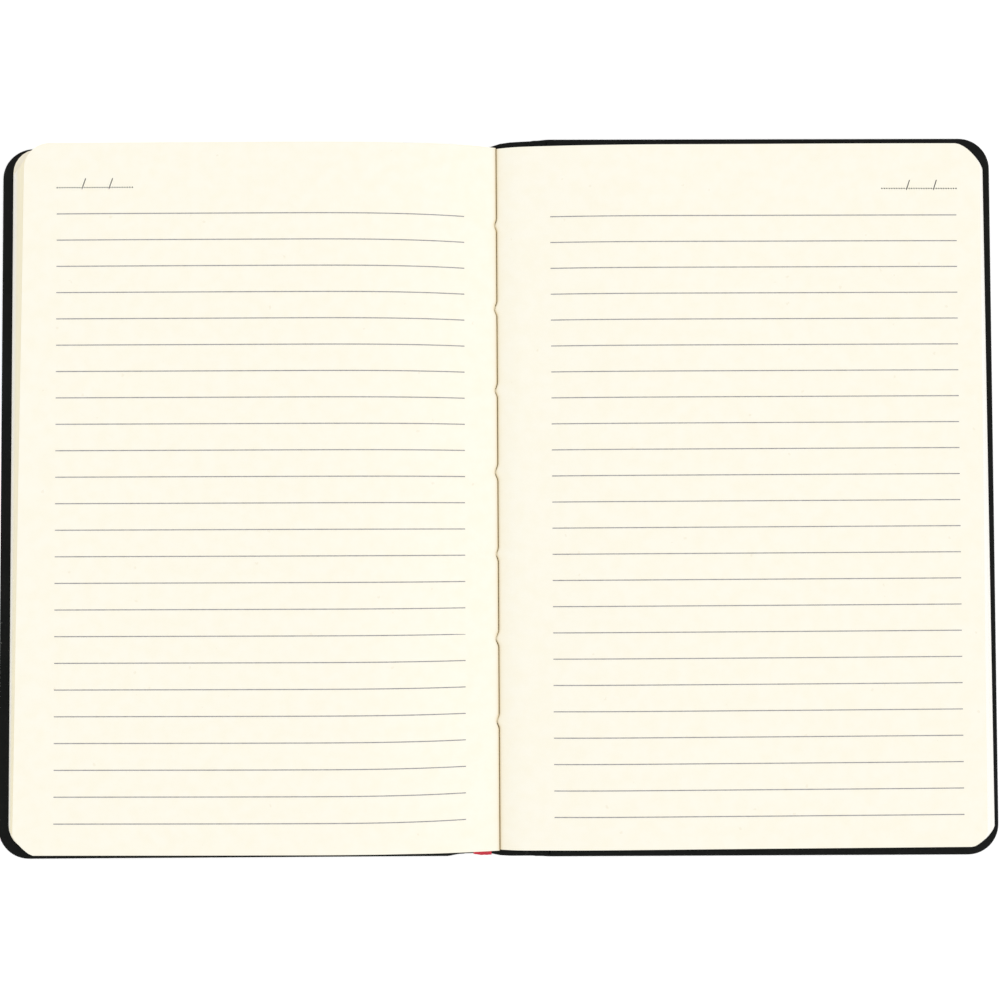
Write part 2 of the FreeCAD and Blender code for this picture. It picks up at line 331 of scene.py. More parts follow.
def piece_from(name, points, faces, material, marks=(), sharp=35):
    """Mesh object of a closed shape given in millimetres, with its faces turned outwards.

    Each point's place is also kept in the attribute rest, where the patterns of the materials
    read it. marks holds further attributes as (name, domain, values).
    """
    mesh = bpy.data.meshes.new(name)
    mesh.from_pydata((points * MM).tolist(), [], [list(face) for face in faces])
    rest = mesh.attributes.new("rest", "FLOAT_VECTOR", "POINT")
    rest.data.foreach_set("vector", (points * MM).astype(np.float32).ravel())
    for mark, domain, values in marks:
        attribute = mesh.attributes.new(mark, "FLOAT", domain)
        attribute.data.foreach_set("value", np.asarray(values, np.float32).ravel())
    shape = bmesh.new()
    shape.from_mesh(mesh)
    bmesh.ops.recalc_face_normals(shape, faces=shape.faces)
    shape.to_mesh(mesh)
    shape.free()
    mesh.materials.append(material)
    mesh.shade_smooth()
    mesh.set_sharp_from_angle(angle=math.radians(sharp))
    piece = put_in_scene(name, mesh)
    return piece


def closed_sheet(outer, inner):
    """Points and faces of a thin solid between two grids of points of the same shape."""
    rows, columns = outer.shape[:2]
    size = rows * columns
    points = np.concatenate([outer.reshape(-1, 3), inner.reshape(-1, 3)])
    over = np.arange(size).reshape(rows, columns)
    border = over[border_of(rows, columns)]
    following = np.roll(border, -1)
    walls = np.stack([border, following, following + size, border + size], -1)
    faces = np.concatenate([grid_faces(over)[:, ::-1], grid_faces(over + size), walls])
    return points, faces


def bend_with_cover(piece):
    """The piece keeps the place it was built in: its transform is baked into its mesh."""
    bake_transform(piece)


def notch_swerve(along):
    """How far the line between the halves swerves to the left at a place along the book.

    Each notch adds the square of a cosine over its own length, and each has its own depth.
    """
    offset = np.asarray(along)[..., None] - NOTCH_PLACES - NOTCH_SHIFTS
    share = np.cos(math.pi / 2 * np.clip(2 * offset / NOTCH_LENGTHS, -1, 1)) ** 2
    return (share * NOTCH_DEPTHS).sum(-1)


def gutter_run(half, along):
    """Run of the fold's edge: the leaning middle line, the swerves at the notches, half a gap.

    The front half gives way a little more at a notch than the back half follows it.
    """
    swerve = notch_swerve(along)
    middle = GUTTER_MIDDLE + GUTTER_LEAN * along - swerve
    spread = NOTCH_GIVE * swerve if half is FRONT else 0.0
    return half.side * middle + GUTTER_GAP / 2 + spread


def fore_edge_run(half, along):
    """Run of the top leaf's fore-edge, which goes straight from its head to its tail place."""
    share = 0.5 + along / (2 * HALF_PAGE)
    return half.top_tail + (half.top_head - half.top_tail) * share


def cockle(run, along, seed):
    """Slight waves of a leaf: a few long sines that fade out towards the fold."""
    phases = np.random.default_rng(seed).uniform(0, 2 * math.pi, len(COCKLE_WAVES))
    waves = sum(
        height * np.sin(run / across + along / down + phase)
        for (height, across, down), phase in zip(COCKLE_WAVES, phases)
    )
    return waves * smooth_step((run - COCKLE_START) / COCKLE_FADE)


# Stations across a page as shares of its reach, and up the fold. They were laid out on a page
# of a typical reach, and come close together beside the fold and at the corners.
TYPICAL_REACH = 136
OUT_SHARES = np.concatenate(
    [
        np.array([0, 0.06, 0.14, 0.26, 0.4, 0.55, 0.8]) / TYPICAL_REACH,
        np.array([1.2, 1.8, 2.6, 3.6, 4.8, 6.2, 7.8]) / TYPICAL_REACH,
        np.linspace(9.6, 22, 9) / TYPICAL_REACH,
        np.linspace(24.5, 128.5, 30) / TYPICAL_REACH,
        1 - PAGE_CORNER / TYPICAL_REACH * (1 - np.sin(np.linspace(0, math.pi / 2, 10))),
    ]
)
RISE_SHARES = np.linspace(0, 1, 5)[:-1]


def top_level(half, out):
    """Level of the open page at a distance from the fold, rounded down beside the fold."""
    runs, levels = curve_through(half.surface)
    flat = np.interp(out, runs, levels)
    near = 1 - np.clip(out / GUTTER_ROUND, 0, 1)
    return flat - GUTTER_ROUND * (1 - np.sqrt(1 - near**2))


def leaf_points(half, share, rise, out, row, edge_inset, end_outset):
    """Points of the leaf at a share of the stack's thickness.

    The lowest leaf lies along the underside, the top leaf climbs out of the fold and lies over,
    and a leaf between them is their weighted mean. rise goes up the fold and out across the
    page, both from 0 to 1, and row from -1 at the tail to 1 at the head. Near the fore-edge the
    row is shortened to round the leaf's corners: two distances from the corner's inner point,
    each a share of the corner's size raised to a power, add up to one. Power 2 gives a quarter
    circle and 1 a straight cut. end_outset lengthens the leaf, and edge_inset draws its
    fore-edge in, less and less towards the fold by the sixth power of out.
    """
    along = row * HALF_PAGE
    share_of_tail = 0.5 - row / 2
    bottom_leaf = half.bottom_head + (half.bottom_tail - half.bottom_head) * share_of_tail
    gutter = gutter_run(half, along)
    low_runs, low_levels = np.array(UNDER_LEAVES).T
    low_reach = bottom_leaf - FOLD_SPREAD - FOLD_FLARE
    low_run = FOLD_SPREAD + FOLD_FLARE * rise + low_reach * out
    low_level = np.interp(low_run, low_runs, low_levels)
    reach = fore_edge_run(half, along) - gutter
    top_run = gutter + reach * out
    climb = FOLD_BASE + (top_level(half, np.zeros(1)) - FOLD_BASE) * rise
    top = np.where(rise < 1, climb, top_level(half, top_run - gutter))
    top = top + cockle(top_run, along, half.seed)
    run = (1 - share) * low_run + share * top_run
    level = (1 - share) * low_level + share * top
    end = (1 - share) * bottom_leaf + share * (gutter + reach)
    headwards = np.asarray(row)[..., None, None] > 0
    corners = np.where(headwards, half.head_corners, half.tail_corners)
    lowest, highest = np.moveaxis(corners, (-2, -1), (0, 1))
    size, power = (1 - share) * lowest + share * highest
    short = 1 - np.clip((end - run) / size, 0, 1)
    rounding = 1 - np.clip(1 - short**power, 0, 1) ** (1 / power)
    length = np.interp(run, *np.array(half.half_length).T) - size * rounding
    middle = np.interp(run, *np.array(half.middle).T)
    run = run - edge_inset * out**6
    return np.stack([half.side * run, middle + row * (length + end_outset), level], -1)


def page_rows():
    """Rows along the page from -1 to 1, closer together at the notches in the fold.

    An even row that lies within 0.4 mm of a notch's row is left out.
    """
    around = np.array([-2.5, -1.9, -1.4, -0.8, -0.3, 0.3, 0.8, 1.4, 1.9, 2.5])
    notches = (NOTCH_PLACES[:, None] + around).ravel() / HALF_PAGE
    even = np.linspace(-1, 1, 71)
    even = even[np.abs(even[:, None] - notches).min(1) > 0.004]
    return np.sort(np.concatenate([even, notches]))


def page_block(half, material):
    """One half of the pages: a closed block whose walls are stepped leaf by leaf.

    Each leaf has a ring of points near its underside and one near its top. Its fore-edge stands
    in by a random amount of its own and one of its quire, and its ends by another. The marks of
    the painted shade at the fold and beside it fall off exponentially with the distance from the
    fold.
    """
    rise = np.concatenate([RISE_SHARES, np.ones(len(OUT_SHARES))])
    out = np.concatenate([np.zeros(len(RISE_SHARES)), OUT_SHARES])
    rows = page_rows()
    row_count, column_count = len(rows), len(out)
    border = border_of(row_count, column_count)
    rng = np.random.default_rng(half.seed)
    quire = np.arange(half.leaves) // QUIRE_LEAVES
    inset = rng.uniform(0, 0.07, half.leaves) + rng.uniform(0, 0.1, quire[-1] + 1)[quire]
    outset = rng.uniform(-0.05, 0.0, half.leaves)
    inset[-1] = 0
    outset[-1] = 0
    leaf = np.repeat(np.arange(half.leaves), 2)
    share = (leaf + np.tile([0.04, 0.96], half.leaves)) / half.leaves
    share = (share - share[0]) / (share[-1] - share[0])

    def layer(level_number, row_pick, column_pick):
        return leaf_points(
            half,
            share[level_number],
            rise[column_pick],
            out[column_pick],
            rows[row_pick],
            inset[leaf[level_number]],
            outset[leaf[level_number]],
        )

    levels = np.arange(len(share))[:, None]
    wall = layer(levels, border[0][None, :], border[1][None, :])
    inner_rows, inner_columns = np.meshgrid(
        np.arange(1, row_count - 1), np.arange(1, column_count - 1), indexing="ij"
    )
    under = layer(np.array(0), inner_rows, inner_columns)
    over = layer(np.array(-1), inner_rows, inner_columns)
    points = np.concatenate([wall.reshape(-1, 3), under.reshape(-1, 3), over.reshape(-1, 3)])
    ring = len(border[0])
    wall_index = np.arange(len(share) * ring).reshape(len(share), ring)
    wall_faces = grid_faces(np.concatenate([wall_index, wall_index[:, :1]], 1))
    caps = []
    for number, start in ((0, wall_index.size), (-1, wall_index.size + under.size // 3)):
        index = np.empty((row_count, column_count), int)
        index[border] = wall_index[number]
        index[1:-1, 1:-1] = start + np.arange(under.size // 3).reshape(inner_rows.shape)
        caps.append(grid_faces(index))
    faces = np.concatenate([wall_faces, *caps])
    edge = np.concatenate([np.ones(len(wall_faces)), np.zeros(len(caps[0]) + len(caps[1]))])
    leaf_place = np.concatenate([np.repeat(leaf[:-1] / half.leaves, ring), np.zeros(len(faces))])
    away = np.abs(half.side * points[:, 0] - gutter_run(half, points[:, 1]))
    # Painted shade of the fold's crevice, fainter at the notches
    fold = np.exp(-away / SHADE_REACH) * (1 - NOTCH_FADE * notch_swerve(points[:, 1]))
    marks = [
        ("edge", "FACE", edge),
        ("leaf", "FACE", leaf_place[: len(faces)]),
        ("fold", "POINT", fold),
        # painted shade beside the fold, reaching further on the back half
        ("fold_side_shade", "POINT", np.exp(-away / half.tint_reach)),
        # share of warmth in the edges: partly the paper's own tone, partly painted shade
        ("warm", "FACE", np.full(len(faces), half.warm)),
    ]
    block = piece_from(half.name + "_pages", points, faces, material, marks)
    bend_with_cover(block)
    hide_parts(half.name + "_leaves")


def surface_stations(half, along):
    """Runs and levels of the open page's own grid points along one line across the page."""
    gutter = gutter_run(half, along)
    run = gutter + (fore_edge_run(half, along) - gutter) * OUT_SHARES
    level = top_level(half, run - gutter) + cockle(run, along, half.seed)
    return run, level


def ink_bar(half, start, end, width):
    """Points and faces of a thin bar of ink from one (x, along) place on the page to another.

    Its stations are the page's own grid points, and it stands a hair above the paper.
    """
    start = np.array(start)
    end = np.array(end)
    middle = (start[1] + end[1]) / 2
    runs, levels = surface_stations(half, middle)
    low, high = sorted([half.side * start[0], half.side * end[0]])
    inside = (runs > low + INK_MARGIN) & (runs < high - INK_MARGIN)
    run = np.concatenate([[low], runs[inside], [high]])
    x = half.side * run
    share = (x - start[0]) / (end[0] - start[0])
    along = start[1] + share * (end[1] - start[1])
    level = np.interp(run, runs, levels)
    direction = (end - start) / np.hypot(*(end - start))
    aside = width / 2 * np.array([-direction[1], direction[0]])
    flat = np.stack([x, along], -1)
    corners = [(1, INK_LIFT), (-1, INK_LIFT), (-1, -INK_DEPTH), (1, -INK_DEPTH)]
    section = [
        np.concatenate([flat + turn * aside, (level + lift)[:, None]], 1)
        for turn, lift in corners
    ]
    points = np.stack(section, 1)
    index = np.arange(points.size // 3).reshape(len(run), 4)
    sides = grid_faces(np.concatenate([index, index[:, :1]], 1))
    return points.reshape(-1, 3), [*sides.tolist(), index[0].tolist(), index[-1].tolist()]


def ink_dots(half, ruling):
    """Points and faces of a row of round dots, each an eight-sided plate on the page."""
    sides = 8
    middles = np.linspace(ruling.dots_start, ruling.dots_end, DOT_COUNT)
    runs, levels = surface_stations(half, ruling.dots_along)
    level = np.interp(half.side * middles, runs, levels)
    turn = np.arange(sides) * 2 * math.pi / sides
    ring = DOT_SIZE / 2 * np.stack([np.cos(turn), np.sin(turn)], -1)
    points = np.empty((DOT_COUNT, 2, sides, 3))
    points[..., 0] = middles[:, None, None] + ring[:, 0]
    points[..., 1] = ruling.dots_along + ring[:, 1]
    points[..., 2] = level[:, None, None] + np.array([-INK_DEPTH, INK_LIFT])[:, None]
    index = np.arange(DOT_COUNT * 2 * sides).reshape(DOT_COUNT, 2, sides)
    following = np.roll(index, -1, 2)
    walls = np.stack([index[:, 0], following[:, 0], following[:, 1], index[:, 1]], -1)
    faces = [*walls.reshape(-1, 4).tolist(), *index.reshape(-1, sides).tolist()]
    return points.reshape(-1, 3), faces


def printed_ruling(half, ruling, material):
    """The rules, and the dotted place for a date, printed on one open page."""
    share = np.linspace(0, 1, RULE_COUNT)
    places = ruling.head + (ruling.tail - ruling.head) * share
    tilts = ruling.head_tilt + (ruling.tail_tilt - ruling.head_tilt) * share
    starts = np.stack([ruling.start + ruling.start_lean * share, places], -1)
    ends = np.stack([ruling.end + ruling.end_lean * share, places + tilts], -1)
    bars = [ink_bar(half, start, end, RULE_WIDTH) for start, end in zip(starts, ends)]
    bars += [ink_bar(half, (a, b), (c, d), SLASH_WIDTH) for a, b, c, d in ruling.slashes]
    bars.append(ink_dots(half, ruling))
    offsets = np.cumsum([0] + [len(points) for points, _ in bars])
    points = np.concatenate([points for points, _ in bars])
    faces = [
        [corner + offset for corner in face]
        for offset, (_, bar_faces) in zip(offsets, bars)
        for face in bar_faces
    ]
    heavy = np.concatenate(
        [np.full(len(bar), number >= RULE_COUNT) for number, (bar, _) in enumerate(bars)]
    )
    marks = [("heavy", "POINT", heavy)]
    piece = piece_from(half.name + "_ruling", points, faces, material, marks)
    bend_with_cover(piece)


def head_lean(half, run):
    """How far the front cover's head edge stands in at a run; the back cover's doesn't."""
    share = np.clip((run - BOARD_START) / (FORE_EDGE - BOARD_START), 0, 1)
    return FRONT_HEAD_INSET + FRONT_HEAD_LEAN * share if half is FRONT else 0 * share


def tail_ease(half, run):
    """How far the front cover's tail edge stands in at a run, which fades out from the joint."""
    share = 1 - smooth_step((run - BOARD_START) / EASE_LENGTH)
    return FRONT_TAIL_EASE * share if half is FRONT else 0 * share


def cover_outline(half, inset):
    """Once round a cover's outline, set in by a distance, as (run, along) points.

    Each corner is a quarter circle whose radius shrinks by the inset. The part towards the head
    is then shortened by the lean of the head edge, and the part towards the tail by its ease.
    """
    places = [
        (FORE_EDGE, HALF_COVER, COVER_CORNER, 0),
        (BOARD_START - LEATHER, HALF_COVER, SPINE_CORNER, 90),
        (BOARD_START - LEATHER, -HALF_COVER, SPINE_CORNER, 180),
        (FORE_EDGE, -HALF_COVER, COVER_CORNER, 270),
    ]
    arcs = []
    for run, along, corner, first in places:
        radius = max(corner - inset, LEAST_ROUND)
        turn = np.radians(first + np.linspace(0, 90, 15))
        sign = np.array([1 if run == FORE_EDGE else -1, math.copysign(1, along)])
        middle = np.array([run, along]) - sign * (inset + radius)
        arcs.append(middle + radius * np.stack([np.cos(turn), np.sin(turn)], -1))
    outline = np.concatenate(arcs)
    share = outline[:, 1] / HALF_COVER
    outline[:, 1] -= head_lean(half, outline[:, 0]) * np.clip(share, 0, 1)
    outline[:, 1] -= tail_ease(half, outline[:, 0]) * np.clip(share, -1, 0)
    return outline


def cover_skin(half, material):
    """Leatherette round one board: outer face, rounded edges and the turned-in border.

    A profile of (inset, level) points is carried once round the cover's outline.
    """
    turn = np.radians(np.linspace(0, 90, 7))
    low_round = np.stack([1 - np.sin(turn), 1 - np.cos(turn)], -1) * EDGE_ROUND
    high_round = low_round[::-1] * [1, -1] + [0, COVER_TOP]
    board_top = COVER_TOP - LEATHER
    near_ring, far_ring = FLAT_RINGS
    profile = np.concatenate(
        [
            [[far_ring, 0.0], [near_ring, 0.0]],
            low_round,
            high_round,
            [[near_ring, COVER_TOP], [TURN_IN, COVER_TOP], [TURN_IN, board_top]],
            [[LEATHER, board_top], [LEATHER, LEATHER], [far_ring, LEATHER]],
        ]
    )
    rings = []
    for inset, level in profile:
        outline = cover_outline(half, inset)
        rings.append(np.insert(outline * [half.side, 1], 2, level, axis=1))
    points = np.stack(rings)
    index = np.arange(points.size // 3).reshape(points.shape[:2])
    walls = grid_faces(np.concatenate([index, index[:, :1]], 1))
    faces = [*walls.tolist(), index[0].tolist(), index[-1].tolist()]
    rim = np.broadcast_to(profile[:, :1] < RUBBED_REACH, points.shape[:2])
    marks = [("rim", "POINT", rim)]
    name = half.name + "_cover_skin"
    piece = piece_from(name, points.reshape(-1, 3), faces, material, marks)
    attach(piece, half.name + "_cover")
    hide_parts(half.name + "_wrap")


def folded_end(reach, end_height, flap, round_off):
    """(along, level) points of one turned-in end: round the end's edge, then down to its flap."""
    turn = np.radians(np.linspace(0, 90, 6))
    arc = np.stack([np.sin(turn), 1 - np.cos(turn)], -1) * round_off
    low = arc + [reach - round_off, 0]
    high = arc[::-1] * [1, -1] + [reach - round_off, end_height]
    return np.concatenate(
        [low, high, [[HALF_COVER - FLAP_START, flap], [HALF_COVER - TURN_IN, flap]]]
    )


def folded_skin(name, x_places, lift, end_heights, flap, material):
    """Leatherette with both ends turned in: a folded path carried across the book.

    lift raises each path, flap is the level of its turned-in ends, and its inner face lies
    nearly one thickness inside its outer face.
    """
    outer = []
    inner = []
    for x, rise, end_height in zip(x_places, lift, end_heights):
        height = max(end_height - rise, flap)
        round_off = min(height / 2, FLAP_ROUND)
        tail = HALF_COVER - np.interp(x, *np.array(TAIL_INSETS).T)
        head = HALF_COVER - np.interp(x, *np.array(HEAD_INSETS).T)
        tail_end = folded_end(tail, height, flap, round_off)[::-1] * [-1, 1]
        head_end = folded_end(head, height, flap, round_off)
        path = np.concatenate([tail_end, [[-40, 0], [0, 0], [40, 0]], head_end])
        step = np.gradient(path, axis=0)
        step = step / np.hypot(*step.T)[:, None]
        within = path + (LEATHER - SKIN_GAP) * np.stack([-step[:, 1], step[:, 0]], -1)
        outer.append(np.stack([np.full(len(path), x), path[:, 0], path[:, 1] + rise], -1))
        inner.append(np.stack([np.full(len(path), x), within[:, 0], within[:, 1] + rise], -1))
    points, faces = closed_sheet(np.array(outer), np.array(inner))
    rim = smooth_step((np.abs(points[:, 1]) - HALF_COVER + RUBBED_END) / RUBBED_FADE)
    marks = [("rim", "POINT", rim)]
    return piece_from(name, points, faces, material, marks)


def joint_skin(half, material):
    """Leatherette between a board and the spine, pressed up into the long groove.

    The groove's lift is the product of a smooth step up and a smooth step down.
    """
    run = np.linspace(SPINE_REACH, BOARD_START + JOINT_OVERLAP, 27)
    up = smooth_step((run - GROOVE_START + 1.0) / GROOVE_CLIMB)
    down = smooth_step((GROOVE_END + 0.5 - run) / GROOVE_FALL)
    lift = GROOVE_HEIGHT * up * down
    climb = smooth_step((run - GROOVE_START) / (BOARD_START - GROOVE_START))
    end_heights = SPINE_HEIGHT + (COVER_TOP - JOINT_UNDER - SPINE_HEIGHT) * climb
    name = half.name + "_joint_skin"
    piece = folded_skin(name, half.side * run, lift, end_heights, FLAP_LEVEL, material)
    bend_with_cover(piece)


def spine_skin(material):
    """Leatherette over the back of the spine, turned in over its card strip."""
    x = np.linspace(-SPINE_REACH, SPINE_REACH, 37)
    heights = np.full(len(x), SPINE_HEIGHT)
    piece = folded_skin("spine_skin", x, 0 * x, heights, SPINE_HEIGHT, material)
    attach(piece, "spine")
    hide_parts("spine_wrap")


def pastedown(half, material):
    """Paper glued inside a cover, which runs on down into the joint and has round corners."""
    end = FORE_EDGE - PASTEDOWN_INSET
    corner = PAGE_CORNER * (1 - np.sin(np.linspace(0, math.pi / 2, 8)))
    joint = np.linspace(GROOVE_START, BOARD_START, 8)
    run = np.concatenate([joint, np.linspace(16, end - 8, 20), end - corner])
    short = 1 - np.clip((end - run) / PAGE_CORNER, 0, 1)
    straight = HALF_PAGE - PASTEDOWN_SHORTER - PAGE_CORNER
    length = straight + PAGE_CORNER * np.sqrt(1 - short**2)
    row = np.linspace(-1, 1, 31)
    level = np.interp(run, *np.array(UNDER_PASTEDOWN).T)
    grid = np.empty((len(row), len(run), 3))
    grid[..., 0] = half.side * run
    grid[..., 1] = row[:, None] * length
    grid[..., 2] = level
    points, faces = closed_sheet(grid + [0, 0, PASTEDOWN_THICKNESS], grid)
    piece = piece_from(half.name + "_pastedown", points, faces, material)
    bend_with_cover(piece)
    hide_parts(half.name + "_endpaper")


def ribbon(material):
    """Woven ribbon between the leaves, whose cut end sags a little past their tail edge.

    The strip leans across by its slope. Its cut end slants, sags and curls, and all three fade
    out exponentially from the end inwards.
    """
    low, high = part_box("ribbon_marker")
    width = (high.x - low.x) / MM
    middle = (high.x + low.x) / 2 / MM
    tail = low.y / MM - RIBBON_PAST_TAIL
    head = high.y / MM
    across = np.linspace(-1, 1, 13)
    length = np.concatenate([np.linspace(0, 4, 14), np.linspace(6, head - tail, 60)])
    grid = np.empty((len(length), len(across), 3))
    grid[..., 0] = middle + across * width / 2
    slant = 0.04 * np.sin(across * 9) - 0.1 * across + 0.5 * np.clip(-across, 0, 1) ** 1.5
    grid[..., 1] = tail + length[:, None] + slant * np.exp(-length[:, None] / 1.5)
    sag = 0.35 * np.exp(-((length[:, None] / 1.4) ** 2))
    curl = 0.12 * across**2 * np.exp(-length[:, None] / 2.0)
    centre = (low.z + high.z) / 2 / MM
    grid[..., 2] = centre - across * width / 2 * RIBBON_SLOPE - sag + curl
    thickness = [0, 0, RIBBON_HALF_THICKNESS]
    points, faces = closed_sheet(grid + thickness, grid - thickness)
    piece = piece_from("ribbon_strip", points, faces, material)
    bend_with_cover(piece)
    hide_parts("ribbon_marker")


def glue_beads(material):
    """Beads of glue in the notches.

    Each is a stack of flat ellipses that a sine makes wavy and a sixth power rounds off at the
    top, and it follows the fold's line.
    """
    around = np.linspace(0, 2 * math.pi, 17)[:-1]
    up = np.linspace(0, 1, 12)
    points = []
    faces = []
    for number, along in enumerate(NOTCH_PLACES):
        rng = np.random.default_rng(BEAD_SEED + number)
        swell = 1 + 0.12 * np.sin(around * 3 + rng.uniform(0, 6)) * np.sin(up[:, None] * 5)
        waist = np.sqrt(np.clip(1 - np.clip(up[:, None] * 1.12 - 0.12, 0, 1) ** 6, 0.02, 1))
        bead = np.empty((len(up), len(around), 3))
        place = along + NOTCH_SHIFTS[number] + 1.2 * np.sin(around) * waist * swell
        bead[..., 0] = GUTTER_MIDDLE + GUTTER_LEAN * place - notch_swerve(place) - 0.03
        bead[..., 0] += 0.19 * np.cos(around) * waist * swell
        bead[..., 1] = place
        bead[..., 2] = BEAD_START + (BEAD_HEIGHT + rng.uniform(-0.12, 0.05)) * up[:, None]
        index = bead.size // 3 * number + np.arange(bead.size // 3).reshape(bead.shape[:2])
        points.append(bead.reshape(-1, 3))
        faces += grid_faces(np.concatenate([index, index[:, :1]], 1)).tolist()
        faces += [index[0].tolist(), index[-1].tolist()]
    piece = piece_from(
        "glue_beads", np.concatenate(points), faces, material, sharp=60
    )
    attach(piece, "spine")
    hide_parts("notch_glue")


def add_node(tree, kind, settings=None, inputs=None):
    """A new shader node with its settings, and each input set to a value or linked to a socket."""
    node = tree.nodes.new("ShaderNode" + kind)
    for name, value in (settings or {}).items():
        setattr(node, name, value)
    for name, value in (inputs or {}).items():
        if isinstance(value, bpy.types.NodeSocket):
            tree.links.new(value, node.inputs[name])
        else:
            node.inputs[name].default_value = value
    return node


def calculated(tree, operation, *values):
    """The result of a Math node's operation on values or sockets."""
    node = add_node(tree, "Math", {"operation": operation}, dict(enumerate(values)))
    return node.outputs["Value"]


def scaled(tree, value, factor, offset=0.0):
    """A value times a factor, plus an offset."""
    return calculated(tree, "MULTIPLY_ADD", value, factor, offset)


def stretched(tree, value, low, high):
    """A value stretched so that low becomes 0 and high becomes 1, and held between the two."""
    inputs = {"Value": value, "From Min": low, "From Max": high}
    return add_node(tree, "MapRange", inputs=inputs).outputs["Result"]


def mix_colours(tree, share, first, second):
    """The first colour where the share is 0 and the second where it is 1."""
    node = add_node(tree, "Mix", {"data_type": "RGBA"}, {0: share, 6: first, 7: second})
    return node.outputs[2]


def noise(tree, place, scale, detail, **more):
    """The value of a noise pattern at a place."""
    inputs = {"Vector": place, "Scale": scale, "Detail": detail, **more}
    return add_node(tree, "TexNoise", inputs=inputs).outputs["Fac"]


def cells(tree, place, scale, feature="F1", **more):
    """The outputs of a pattern of cells at a place."""
    inputs = {"Vector": place, "Scale": scale, **more}
    return add_node(tree, "TexVoronoi", {"feature": feature}, inputs).outputs


def new_group(name, inputs, outputs):
    """An empty shader node group with named sockets, and its input and output nodes' sockets."""
    tree = bpy.data.node_groups.new(name, "ShaderNodeTree")
    for socket, kind, value in inputs:
        item = tree.interface.new_socket(socket, in_out="INPUT", socket_type="NodeSocket" + kind)
        if value is not None:
            item.default_value = value
    for socket, kind in outputs:
        tree.interface.new_socket(socket, in_out="OUTPUT", socket_type="NodeSocket" + kind)
    entry = tree.nodes.new("NodeGroupInput")
    leave = tree.nodes.new("NodeGroupOutput")
    return tree, entry.outputs, leave.inputs


def mottle_group():
    """Soft patches of a second tone over a first one, where a noise is high."""
    inputs = [
        ("Vector", "Vector", None),
        ("Scale", "Float", 100.0),
        ("First", "Color", (1, 1, 1, 1)),
        ("Second", "Color", (0.9, 0.9, 0.9, 1)),
    ]
    tree, entry, leave = new_group("soft_mottle", inputs, [("Color", "Color"), ("Mask", "Float")])
    patches = stretched(tree, noise(tree, entry["Vector"], entry["Scale"], 4.0), 0.35, 0.68)
    tree.links.new(mix_colours(tree, patches, entry["First"], entry["Second"]), leave["Color"])
    tree.links.new(patches, leave["Mask"])
    return tree


def fibre_group():
    """Height of matted fibres: the sum of two stretched noises laid across each other."""
    inputs = [("Vector", "Vector", None), ("Scale", "Float", 1500.0)]
    tree, entry, leave = new_group("matted_fibres", inputs, [("Height", "Float")])
    heights = []
    for turn, stretch in ((0.5, (1, 0.22, 1)), (2.1, (1, 0.3, 1))):
        turned = {"Vector": entry["Vector"], "Rotation": (0, 0, turn), "Scale": stretch}
        laid = add_node(tree, "Mapping", inputs=turned).outputs["Vector"]
        heights.append(noise(tree, laid, entry["Scale"], 3.0, Distortion=0.6))
    tree.links.new(calculated(tree, "ADD", *heights), leave["Height"])
    return tree


def speck_group():
    """Mask of scattered specks: cells of a Voronoi pattern, of which a share hold a speck.

    A speck is where the distance from its cell's middle, made ragged by a noise, is under its
    size, and a cell holds one where the cell's own random number is under the share.
    """
    inputs = [
        ("Vector", "Vector", None),
        ("Scale", "Float", 300.0),
        ("Size", "Float", 0.12),
        ("Share", "Float", 0.2),
    ]
    tree, entry, leave = new_group("scattered_specks", inputs, [("Mask", "Float")])
    raggedness = 0.35
    bent = noise(tree, entry["Vector"], 1400.0, 2.0)
    round_cells = cells(tree, entry["Vector"], entry["Scale"])
    ragged = scaled(tree, bent, raggedness, round_cells["Distance"])
    size = calculated(tree, "ADD", entry["Size"], raggedness / 2)
    near = calculated(tree, "LESS_THAN", ragged, size)
    parts = add_node(tree, "SeparateColor", inputs={"Color": round_cells["Color"]}).outputs
    chosen = calculated(tree, "LESS_THAN", parts[0], entry["Share"])
    tree.links.new(calculated(tree, "MULTIPLY", near, chosen), leave["Mask"])
    return tree


def grain_group():
    """Height of leatherette's grain: small rounded cells with softer swells under them."""
    inputs = [("Vector", "Vector", None), ("Scale", "Float", 2200.0)]
    tree, entry, leave = new_group("pressed_grain", inputs, [("Height", "Float")])
    grains = cells(tree, entry["Vector"], entry["Scale"], "SMOOTH_F1", Smoothness=0.6)
    swells = noise(tree, entry["Vector"], 900.0, 4.0)
    tree.links.new(scaled(tree, grains["Distance"], -0.8, swells), leave["Height"])
    return tree


def weave_group():
    """Height of plain weave: the higher of two sets of threads that pass over each other.

    Each set is a row of half sines, and it rises and falls by a sine along its own threads.
    """
    inputs = [("Vector", "Vector", None), ("Across", "Float", 2500.0), ("Along", "Float", 2500.0)]
    tree, entry, leave = new_group("plain_weave", inputs, [("Height", "Float")])
    parts = add_node(tree, "SeparateXYZ", inputs={"Vector": entry["Vector"]}).outputs
    waves = [
        calculated(tree, "SINE", calculated(tree, "MULTIPLY", parts[axis], entry[pitch]))
        for axis, pitch in (("X", "Across"), ("Y", "Along"))
    ]
    crossing = calculated(tree, "MULTIPLY", *waves)
    threads = [
        scaled(tree, crossing, rise, calculated(tree, "ABSOLUTE", wave))
        for wave, rise in zip(waves, (0.5, -0.5))
    ]
    tree.links.new(calculated(tree, "MAXIMUM", *threads), leave["Height"])
    return tree


soft_mottle = mottle_group()
matted_fibres = fibre_group()
scattered_specks = speck_group()
pressed_grain = grain_group()
plain_weave = weave_group()


def new_material(name, **plain):
    """A material with one Principled shader, whose plain sockets are set directly."""
    material = bpy.data.materials.new(name)
    material.use_nodes = True
    tree = material.node_tree
    shader = tree.nodes["Principled BSDF"]
    for socket, value in plain.items():
        shader.inputs[socket.replace("_", " ")].default_value = value
    return material, tree, shader.inputs


